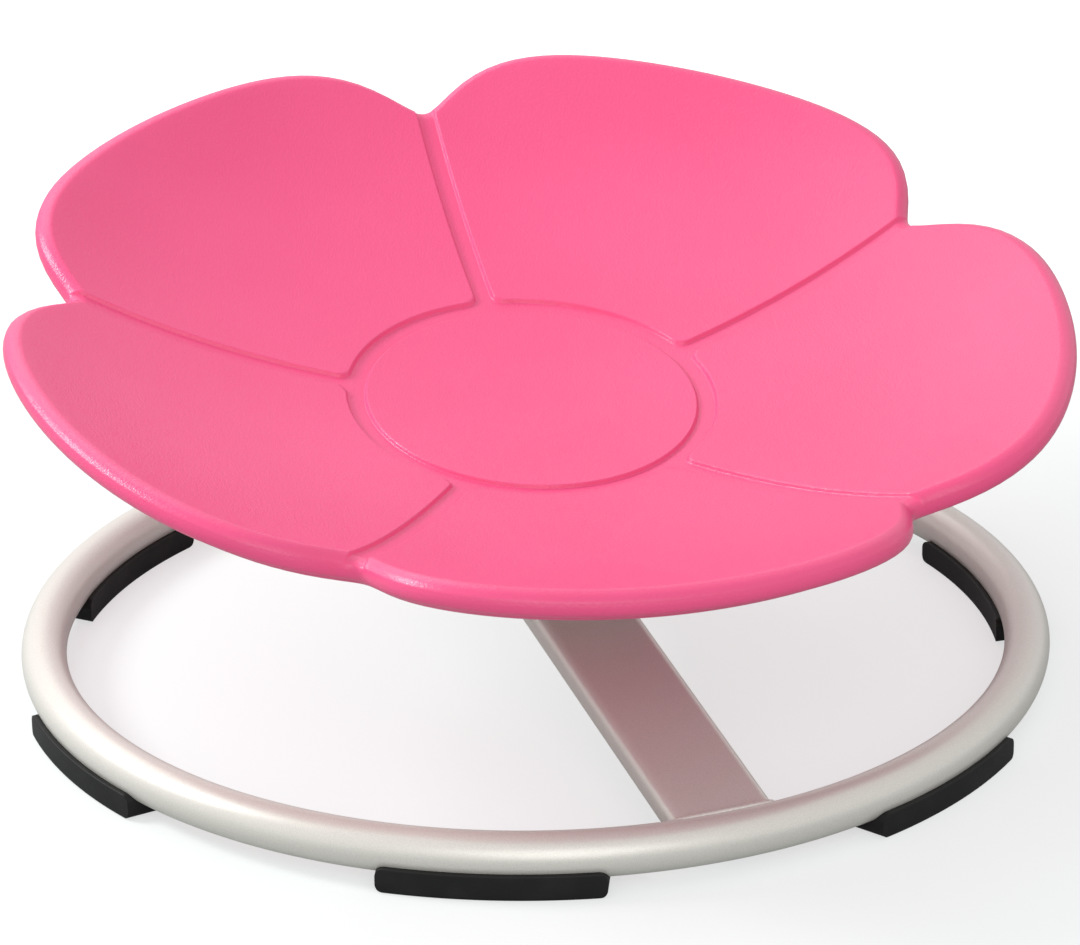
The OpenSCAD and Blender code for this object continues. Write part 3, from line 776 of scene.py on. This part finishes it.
def photo_camera(scene):
    """Camera at the photograph's angle, worked out from the ring's edges in the picture. Its place is a
    distance, a height angle and a turn round the ring's middle. Its axes follow from pan, pitch and
    roll."""
    base = scene.base_sizes
    level = math.cos(CAMERA_PITCH)
    fore = np.array([math.sin(CAMERA_PAN) * level, math.cos(CAMERA_PAN) * level, -math.sin(CAMERA_PITCH)])
    right = np.cross(fore, [0.0, 0.0, 1.0])
    right /= np.linalg.norm(right)
    up = np.cross(right, fore)
    c, d = math.cos(CAMERA_ROLL), math.sin(CAMERA_ROLL)
    right, up = c * right + d * up, -d * right + c * up
    axes = np.eye(4)
    axes[:3, :3] = np.stack([right, up, -fore], -1)
    axes[:3, 3] = (0.0, -CAMERA_REACH * math.cos(CAMERA_LIFT), CAMERA_REACH * math.sin(CAMERA_LIFT))
    data = bpy.data.cameras.new("photo_camera")
    data.sensor_width = SENSOR_WIDTH
    data.lens = SENSOR_WIDTH * FOCAL_PX / PHOTO_WIDTH_PX
    data.clip_end = CAMERA_CLIP
    camera = bpy.data.objects.new("photo_camera", data)
    scene.collection.objects.link(camera)
    place = Matrix.Translation((0.0, base.shift, base.ring_z)) @ Matrix.Rotation(CAMERA_TURN, 4, "Z")
    camera.matrix_world = place @ Matrix(axes.tolist())
    scene.camera = camera


# Operators

class SEAT_OT_shell(bpy.types.Operator):
    """Make the moulded flower seat"""
    bl_idname = "seat.shell"
    bl_label = "Flower seat"

    def execute(self, context):
        seat, base, _, finishes = settings(context)
        points, faces = seat_points(seat, base)
        piece = put_mesh("flower_seat", points, faces, sharp=math.radians(60.0))
        dress(piece, material_of("seat_plastic", lambda: seat_plastic(finishes)))
        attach(piece, "seat")
        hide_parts("seat_shell")
        return {"FINISHED"}


class SEAT_OT_base(bpy.types.Operator):
    """Make the tube ring, the bent cross bar and the weld beads that join them"""
    bl_idname = "seat.base"
    bl_label = "Tube base"

    def execute(self, context):
        _, base, _, finishes = settings(context)
        paint = material_of("frame_paint", lambda: frame_paint(finishes))
        ring = ring_points(base)
        piece = put_mesh("tube_ring", ring, grid_faces(*ring.shape[:2], wrap_rows=True))
        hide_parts("base_ring")
        bar, front, rear = bar_points(base)
        rows, cols = bar.shape[:2]
        ends = [list(range(cols)), list(range(rows * cols - 1, (rows - 1) * cols - 1, -1))]
        sides = [face[::-1] for face in grid_faces(rows, cols)]
        tube = put_mesh("bent_bar", bar, sides + ends, sharp=math.radians(40.0))
        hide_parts("cross_bar")
        made = [piece, tube]
        for name, path in (("front_weld", front), ("rear_weld", rear)):
            bead = bead_points(base, path)
            made.append(put_mesh(name, bead, grid_faces(*bead.shape[:2], wrap_rows=True)))
        for one in made:
            dress(one, paint)
            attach(one, "base")
        return {"FINISHED"}


class SEAT_OT_pads(bpy.types.Operator):
    """Make the rubber foot pads"""
    bl_idname = "seat.pads"
    bl_label = "Foot pads"

    def execute(self, context):
        _, base, pad, finishes = settings(context)
        rubber = material_of("pad_rubber", lambda: pad_rubber(finishes))
        for i in range(PADS):
            middle = (i - (PADS - 1) / 2.0) * pad.pitch + pad.turn - math.pi / 2.0
            points, faces = pad_points(base, pad, middle)
            piece = put_mesh(f"rubber_pad_{i + 1}", points, faces, sharp=math.radians(45.0))
            dress(piece, rubber)
            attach(piece, "base")
            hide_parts(f"foot_pad_{i + 1}")
        return {"FINISHED"}


class SEAT_OT_hub(bpy.types.Operator):
    """Give the hub's CAD pieces their finishes"""
    bl_idname = "seat.hub"
    bl_label = "Hub finishes"

    def execute(self, context):
        finishes = settings(context)[3]
        made = {
            "frame_paint": lambda: frame_paint(finishes),
            "bright_steel": lambda: plain_metal("bright_steel", tuple(finishes.steel), rough=0.32),
            "insert_brass": lambda: plain_metal("insert_brass", tuple(finishes.brass), rough=0.35),
            "seat_plastic": lambda: seat_plastic(finishes),
            "pad_rubber": lambda: pad_rubber(finishes),
        }
        for part in frame["record"]["subparts"]:
            slot = "pad_rubber" if part["material_slot"] == "cage_plastic" else part["material_slot"]
            dress(frame["nodes"][part["node"]], material_of(slot, made[slot]))
        return {"FINISHED"}


class SEAT_OT_stage(bpy.types.Operator):
    """Set the floor, the light, the background and the camera"""
    bl_idname = "seat.stage"
    bl_label = "Studio"

    def execute(self, context):
        scene = context.scene
        finishes = settings(context)[3]
        scene.view_settings.view_transform = "Standard"
        corners = FLOOR_HALF * np.array([[-1, -1, 0], [1, -1, 0], [1, 1, 0], [-1, 1, 0]], float)
        floor = put_mesh("studio_floor", corners, [[0, 1, 2, 3]])
        dress(floor, floor_paint(finishes))
        studio_world(scene)
        for lamp in LAMPS:
            soft_light(*lamp)
        photo_camera(scene)
        return {"FINISHED"}


class SEAT_PT_panel(bpy.types.Panel):
    """Lists the steps that build the seat's looks"""
    bl_idname = "SEAT_PT_panel"
    bl_label = "Spinning Flower Seat"
    bl_space_type = "VIEW_3D"
    bl_region_type = "UI"
    bl_category = "Seat"

    def draw(self, context):
        for operator in OPERATORS:
            self.layout.operator(operator.bl_idname)
        for group in settings(context):
            box = self.layout.box()
            for name in group.__annotations__:
                box.prop(group, name)


OPERATORS = (SEAT_OT_hub, SEAT_OT_shell, SEAT_OT_base, SEAT_OT_pads, SEAT_OT_stage)
GROUPS = {"seat_sizes": SeatSizes, "base_sizes": BaseSizes, "pad_sizes": PadSizes, "finishes": Finishes}


def register():
    """Registers the classes and hangs the settings on the scene."""
    for cls in (*GROUPS.values(), *OPERATORS, SEAT_PT_panel):
        bpy.utils.register_class(cls)
    for name, cls in GROUPS.items():
        setattr(bpy.types.Scene, name, bpy.props.PointerProperty(type=cls))


def unregister():
    """Takes the settings off the scene and the classes out again."""
    for name in GROUPS:
        delattr(bpy.types.Scene, name)
    for cls in reversed((*GROUPS.values(), *OPERATORS, SEAT_PT_panel)):
        bpy.utils.unregister_class(cls)


def main():
    """Registers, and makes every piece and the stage."""
    register()
    bpy.ops.seat.hub()
    bpy.ops.seat.shell()
    bpy.ops.seat.base()
    bpy.ops.seat.pads()
    bpy.ops.seat.stage()
    bpy.context.view_layer.update()


if __name__ == "__main__":
    main()
